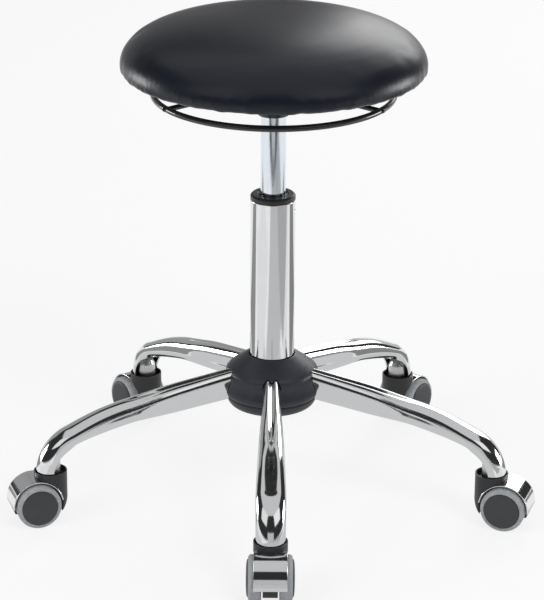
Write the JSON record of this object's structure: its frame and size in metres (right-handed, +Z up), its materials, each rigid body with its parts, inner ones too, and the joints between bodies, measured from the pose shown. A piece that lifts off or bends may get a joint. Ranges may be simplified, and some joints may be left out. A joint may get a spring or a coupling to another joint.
{
  "type": "rolling stool",
  "caption": "Rolling work stool: round padded vinyl seat on a swivelling gas lift, released by a ring under the seat, on a swept chrome star base with hooded twin-wheel casters.",
  "frame": {"origin": "On the floor, under the axis of the column.", "axes": "+Z up along the column. -Y points out along leg 1, the front leg in the picture. +X is to the right when the stool is seen from the front."},
  "size_m": [0.5904, 0.5614, 0.5569],
  "materials": {
    "vinyl": "satin black vinyl with a fine grain",
    "foam": "open-cell foam",
    "plywood": "bare plywood",
    "dust_cloth": "black non-woven cloth",
    "zinc_steel": "zinc-plated",
    "black_steel": "gloss black powder coat",
    "chrome": "bright chrome plate",
    "black_nylon": "satin moulded nylon",
    "cover_plastic": "fine-grained matt moulding",
    "wheel_black": "smooth moulded nylon",
    "tyre_grey": "soft grey tread",
    "rubber": "matt",
    "brass": "turned"
  },
  "bodies": {
    "base": {"column_tube": "chrome", "guide_bush": "black_nylon", "hub_sleeve": "zinc_steel", "hub_cover_top": "cover_plastic", "hub_cover_bottom": "cover_plastic", "leg_1": "chrome", "leg_2": "chrome", "leg_3": "chrome", "leg_4": "chrome", "leg_5": "chrome", "stem_sockets": "zinc_steel", "caster_stems": "zinc_steel", "stem_grip_rings": "zinc_steel", "bearing_balls": "zinc_steel", "bearing_cage": "brass", "bearing_race_lower": "zinc_steel"},
    "rod": {"piston_rod": "zinc_steel", "piston": "black_nylon", "rod_clip": "zinc_steel", "rubber_bumper": "rubber", "bearing_race_upper": "zinc_steel"},
    "seat": {"gas_cylinder": "chrome", "cylinder_gland": "brass", "rod_seal": "rubber", "seat_plate": "black_steel", "lever_keeper": "zinc_steel", "seat_screws": "zinc_steel", "tee_nuts": "zinc_steel", "seat_board": "plywood", "seat_foam": "foam", "seat_cover": "vinyl", "underside_cloth": "dust_cloth", "cloth_staples": "zinc_steel"},
    "lever": {"ring_lever": "black_steel"},
    "button": {"release_button": "black_nylon"},
    "caster_1": {"caster_fork_1": "black_nylon", "caster_hood_1": "chrome", "caster_axle_1": "zinc_steel"},
    "left_wheel_1": {"wheel_left_1": "wheel_black"},
    "right_wheel_1": {"wheel_right_1": "wheel_black"},
    "caster_2": {"caster_fork_2": "black_nylon", "caster_hood_2": "chrome", "caster_axle_2": "zinc_steel"},
    "left_wheel_2": {"wheel_left_2": "wheel_black"},
    "right_wheel_2": {"wheel_right_2": "wheel_black"},
    "caster_3": {"caster_fork_3": "black_nylon", "caster_hood_3": "chrome", "caster_axle_3": "zinc_steel"},
    "left_wheel_3": {"wheel_left_3": "wheel_black"},
    "right_wheel_3": {"wheel_right_3": "wheel_black"},
    "caster_4": {"caster_fork_4": "black_nylon", "caster_hood_4": "chrome", "caster_axle_4": "zinc_steel"},
    "left_wheel_4": {"wheel_left_4": "wheel_black"},
    "right_wheel_4": {"wheel_right_4": "wheel_black"},
    "caster_5": {"caster_fork_5": "black_nylon", "caster_hood_5": "chrome", "caster_axle_5": "zinc_steel"},
    "left_wheel_5": {"wheel_left_5": "wheel_black"},
    "right_wheel_5": {"wheel_right_5": "wheel_black"}
  },
  "joints": [
    {"name": "seat_swivel", "type": "hinge", "parent": "base", "child": "rod", "pos_m": [0, 0, 0.104], "axis": [0, 0, 1], "continuous": true},
    {"name": "seat_height", "type": "slide", "parent": "rod", "child": "seat", "axis": [0, 0, 1], "range_m": [-0.085, 0.045]},
    {"name": "ring_tilt", "type": "hinge", "parent": "seat", "child": "lever", "pos_m": [0, -0.036, 0.48697], "axis": [-1, 0, 0], "range_deg": [0, 4.78], "stiffness_Nm_per_rad": 8, "springref_deg": -5.73},
    {"name": "button_press", "type": "slide", "parent": "seat", "child": "button", "axis": [0, 0, 1], "range_m": [-0.0031, 0]},
    {"name": "caster_swivel_1", "type": "hinge", "parent": "base", "child": "caster_1", "pos_m": [0, -0.258, 0.057], "axis": [0, 0, 1], "continuous": true},
    {"name": "left_spin_1", "type": "hinge", "parent": "caster_1", "child": "left_wheel_1", "pos_m": [0, -0.276, 0.025], "axis": [1, 0, 0], "continuous": true},
    {"name": "right_spin_1", "type": "hinge", "parent": "caster_1", "child": "right_wheel_1", "pos_m": [0, -0.276, 0.025], "axis": [1, 0, 0], "continuous": true},
    {"name": "caster_swivel_2", "type": "hinge", "parent": "base", "child": "caster_2", "pos_m": [-0.24537, -0.07973, 0.057], "axis": [0, 0, 1], "continuous": true},
    {"name": "left_spin_2", "type": "hinge", "parent": "caster_2", "child": "left_wheel_2", "pos_m": [-0.26249, -0.08529, 0.025], "axis": [0.309, -0.9511, 0], "continuous": true},
    {"name": "right_spin_2", "type": "hinge", "parent": "caster_2", "child": "right_wheel_2", "pos_m": [-0.26249, -0.08529, 0.025], "axis": [0.309, -0.9511, 0], "continuous": true},
    {"name": "caster_swivel_3", "type": "hinge", "parent": "base", "child": "caster_3", "pos_m": [-0.15165, 0.20873, 0.057], "axis": [0, 0, 1], "continuous": true},
    {"name": "left_spin_3", "type": "hinge", "parent": "caster_3", "child": "left_wheel_3", "pos_m": [-0.16223, 0.22329, 0.025], "axis": [-0.809, -0.5878, 0], "continuous": true},
    {"name": "right_spin_3", "type": "hinge", "parent": "caster_3", "child": "right_wheel_3", "pos_m": [-0.16223, 0.22329, 0.025], "axis": [-0.809, -0.5878, 0], "continuous": true},
    {"name": "caster_swivel_4", "type": "hinge", "parent": "base", "child": "caster_4", "pos_m": [0.15165, 0.20873, 0.057], "axis": [0, 0, 1], "continuous": true},
    {"name": "left_spin_4", "type": "hinge", "parent": "caster_4", "child": "left_wheel_4", "pos_m": [0.16223, 0.22329, 0.025], "axis": [-0.809, 0.5878, 0], "continuous": true},
    {"name": "right_spin_4", "type": "hinge", "parent": "caster_4", "child": "right_wheel_4", "pos_m": [0.16223, 0.22329, 0.025], "axis": [-0.809, 0.5878, 0], "continuous": true},
    {"name": "caster_swivel_5", "type": "hinge", "parent": "base", "child": "caster_5", "pos_m": [0.24537, -0.07973, 0.057], "axis": [0, 0, 1], "continuous": true},
    {"name": "left_spin_5", "type": "hinge", "parent": "caster_5", "child": "left_wheel_5", "pos_m": [0.26249, -0.08529, 0.025], "axis": [0.309, 0.9511, 0], "continuous": true},
    {"name": "right_spin_5", "type": "hinge", "parent": "caster_5", "child": "right_wheel_5", "pos_m": [0.26249, -0.08529, 0.025], "axis": [0.309, 0.9511, 0], "continuous": true}
  ],
  "couplings": [
    {"joint": "button_press", "follows": "ring_tilt", "m_per_rad": -0.036}
  ]
}
